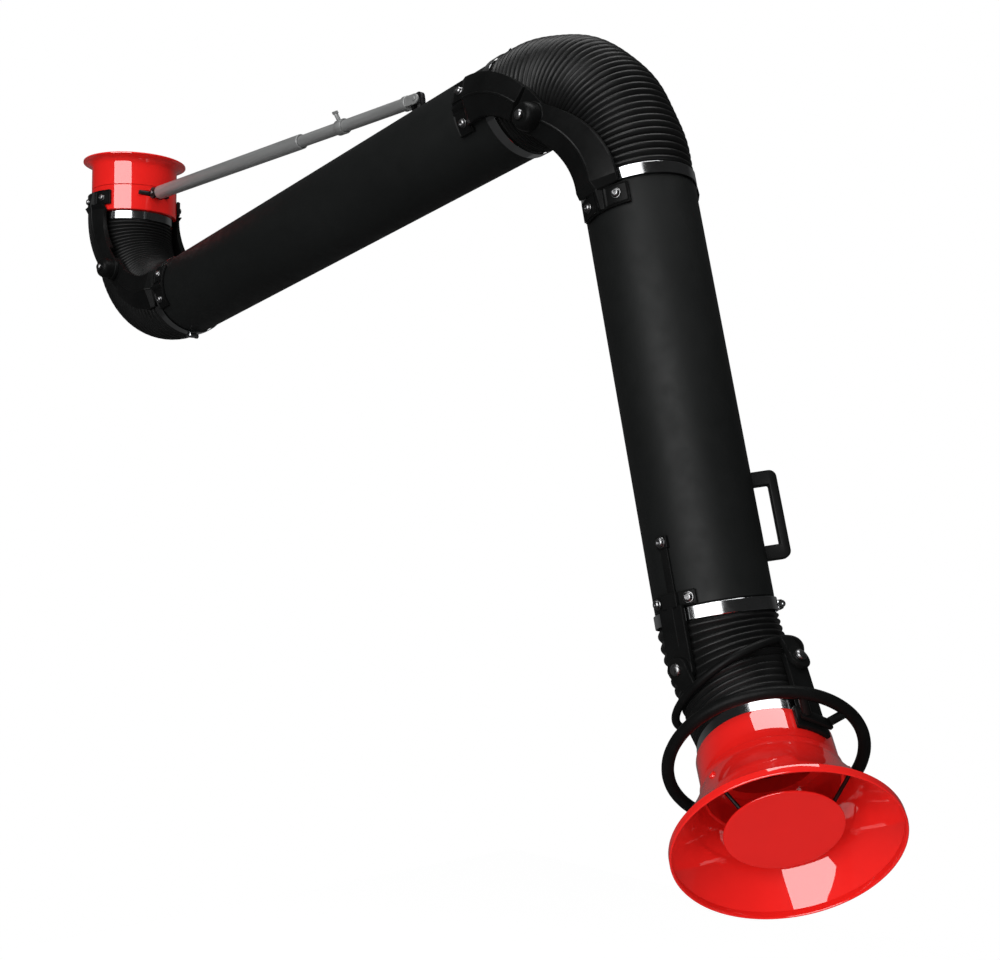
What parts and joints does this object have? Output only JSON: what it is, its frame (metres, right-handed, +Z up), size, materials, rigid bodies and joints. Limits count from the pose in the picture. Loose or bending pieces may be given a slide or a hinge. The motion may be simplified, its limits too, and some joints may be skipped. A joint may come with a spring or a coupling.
{
  "type": "fume extraction arm",
  "caption": "Hanging fume extraction arm: black tube ducts hinged at base and elbow with ribbed hose bends, a balance strut, and a red swivel flange and bell hood.",
  "frame": {"origin": "centre of the mounting flange's flat top face", "axes": "+Z up, out of the flange face; +X along the arm's reach at rest; -Y is the near side"},
  "size_m": [2.0311, 0.3615, 1.2943],
  "materials": {
    "red_gloss": "glossy red paint",
    "black_paint": "satin black paint",
    "black_moulding": "matte black moulding",
    "black_hose": "black ribbed hose",
    "bright_steel": "bright plated steel",
    "bolt_steel": "dull plated bolts and pins",
    "strut_alloy": "satin grey alloy",
    "dark_steel": "dark steel",
    "white_polymer": "off-white bearing polymer"
  },
  "bodies": {
    "mount": {"mount_flange": "red_gloss", "bearing_ring": "white_polymer"},
    "swivel": {"swivel_collar": "red_gloss", "retaining_ring": "dark_steel", "collar_arm_near": "black_moulding", "collar_arm_far": "black_moulding", "collar_bolts_near": "bolt_steel", "collar_bolts_far": "bolt_steel", "base_clamp_upper": "bright_steel", "base_hose": "black_hose", "strut_lug": "dark_steel", "strut_lug_pin": "bolt_steel"},
    "lower_arm": {"lower_tube": "black_paint", "base_arm_near": "black_moulding", "base_arm_far": "black_moulding", "base_bolts_near": "bolt_steel", "base_bolts_far": "bolt_steel", "elbow_arm_near": "black_moulding", "elbow_arm_far": "black_moulding", "elbow_bolts_near": "bolt_steel", "elbow_bolts_far": "bolt_steel", "base_pivot_near": "bolt_steel", "base_pivot_far": "bolt_steel", "elbow_pivot_near": "bolt_steel", "elbow_pivot_far": "bolt_steel", "base_clamp_lower": "bright_steel", "elbow_clamp_lower": "bright_steel", "elbow_hose": "black_hose", "strut_top_lug": "dark_steel"},
    "forearm": {"forearm_tube": "black_paint", "forearm_arm_near": "black_moulding", "forearm_arm_far": "black_moulding", "forearm_bolts_near": "bolt_steel", "forearm_bolts_far": "bolt_steel", "hood_bracket_near": "black_moulding", "hood_bracket_far": "black_moulding", "hood_bracket_bolts_near": "bolt_steel", "hood_bracket_bolts_far": "bolt_steel", "elbow_clamp_upper": "bright_steel", "hood_clamp_upper": "bright_steel", "grip_handle": "black_moulding", "hood_hose": "black_hose"},
    "gimbal": {"gimbal_ring": "black_moulding", "tilt_pivot_near": "bolt_steel", "tilt_pivot_far": "bolt_steel", "side_pivot_front": "bolt_steel", "side_pivot_back": "bolt_steel"},
    "hood": {"hood_shell": "red_gloss", "hood_clamp_lower": "bright_steel", "hood_plate_front": "black_moulding", "hood_plate_back": "black_moulding", "ring_handle": "black_moulding", "deflector_plate": "red_gloss", "deflector_stay": "dark_steel"},
    "strut_lower": {"strut_tube": "strut_alloy", "balance_spring": "dark_steel"},
    "strut_upper": {"strut_rod": "strut_alloy", "strut_lock_collar": "strut_alloy"}
  },
  "joints": [
    {"name": "base_swivel", "type": "hinge", "parent": "mount", "child": "swivel", "pos_m": [0, 0, -0.0656], "axis": [0, 0, 1], "continuous": true},
    {"name": "base_tilt", "type": "hinge", "parent": "swivel", "child": "lower_arm", "pos_m": [0.088, 0, -0.2563], "axis": [0, -1, 0], "range_deg": [-35, 15], "deforming": ["base_hose"]},
    {"name": "elbow", "type": "hinge", "parent": "lower_arm", "child": "forearm", "pos_m": [1.36406, 0, -0.21942], "axis": [0, -1, 0], "range_deg": [-50, 60], "deforming": ["elbow_hose"]},
    {"name": "hood_tilt", "type": "hinge", "parent": "forearm", "child": "gimbal", "pos_m": [1.63159, 0, -0.99143], "axis": [0, -1, 0], "range_deg": [-69, 16], "deforming": ["hood_hose"]},
    {"name": "hood_side_tilt", "type": "hinge", "parent": "gimbal", "child": "hood", "pos_m": [1.67441, 0, -1.03899], "axis": [0.7431, 0, 0.6691], "range_deg": [-12, 68], "deforming": ["hood_hose"]},
    {"name": "strut_swing", "type": "hinge", "parent": "swivel", "child": "strut_lower", "pos_m": [0.1, 0, -0.082], "axis": [0, -1, 0], "range_deg": [-35, 15]},
    {"name": "strut_slide", "type": "slide", "parent": "strut_lower", "child": "strut_upper", "axis": [1, 0, -0.0008], "range_m": [-0.046, 0.105], "deforming": ["balance_spring"]}
  ],
  "couplings": [
    {"joint": "strut_swing", "follows": "base_tilt", "ratio": 0.98},
    {"joint": "strut_slide", "follows": "base_tilt", "m_per_rad": -0.169}
  ]
}
